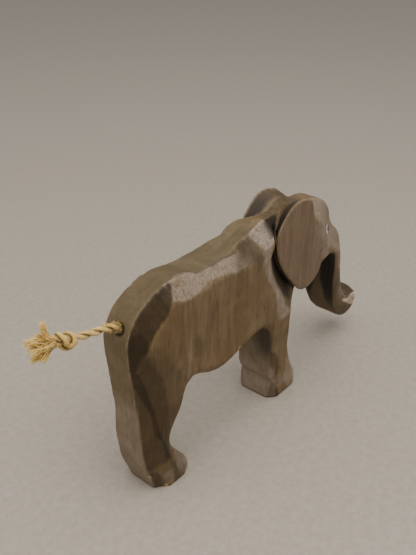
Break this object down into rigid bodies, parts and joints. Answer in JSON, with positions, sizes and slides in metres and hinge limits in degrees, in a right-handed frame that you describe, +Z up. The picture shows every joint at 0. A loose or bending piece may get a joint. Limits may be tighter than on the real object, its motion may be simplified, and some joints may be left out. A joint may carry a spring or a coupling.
{
  "type": "carved animal figurine",
  "caption": "Slim carved wooden elephant on four straight legs, with flat ears, a curled trunk and a short knotted rope tail glued into a drilled hole.",
  "frame": {"origin": "on the surface it stands on, under the middle of the wooden body's length and thickness", "axes": "+X towards the head, +Y to the elephant's left, +Z up"},
  "size_m": [0.2525, 0.0268, 0.1214],
  "materials": {
    "stained_wood": "satin, brown-grey stain, knife-carved",
    "rope_fibre": "rough natural fibre, two strands twisted together",
    "set_glue": "clear yellowish, out of sight",
    "white_paint": "matt paint",
    "dark_paint": "satin paint"
  },
  "bodies": {
    "elephant": {"body": "stained_wood", "tail_glue": "set_glue", "tail_root": "rope_fibre", "eye_white_right": "white_paint", "eye_white_left": "white_paint", "pupil_right": "dark_paint", "pupil_left": "dark_paint"},
    "tail": {"tail_rope": "rope_fibre", "tail_knot": "rope_fibre", "tail_tuft": "rope_fibre"}
  },
  "joints": [
    {"name": "tail_bend", "type": "hinge", "parent": "elephant", "child": "tail", "pos_m": [-0.10329, 0, 0.09857], "axis": [0, 1, 0], "range_deg": [-60, 40], "stiffness_Nm_per_rad": 0.02}
  ]
}
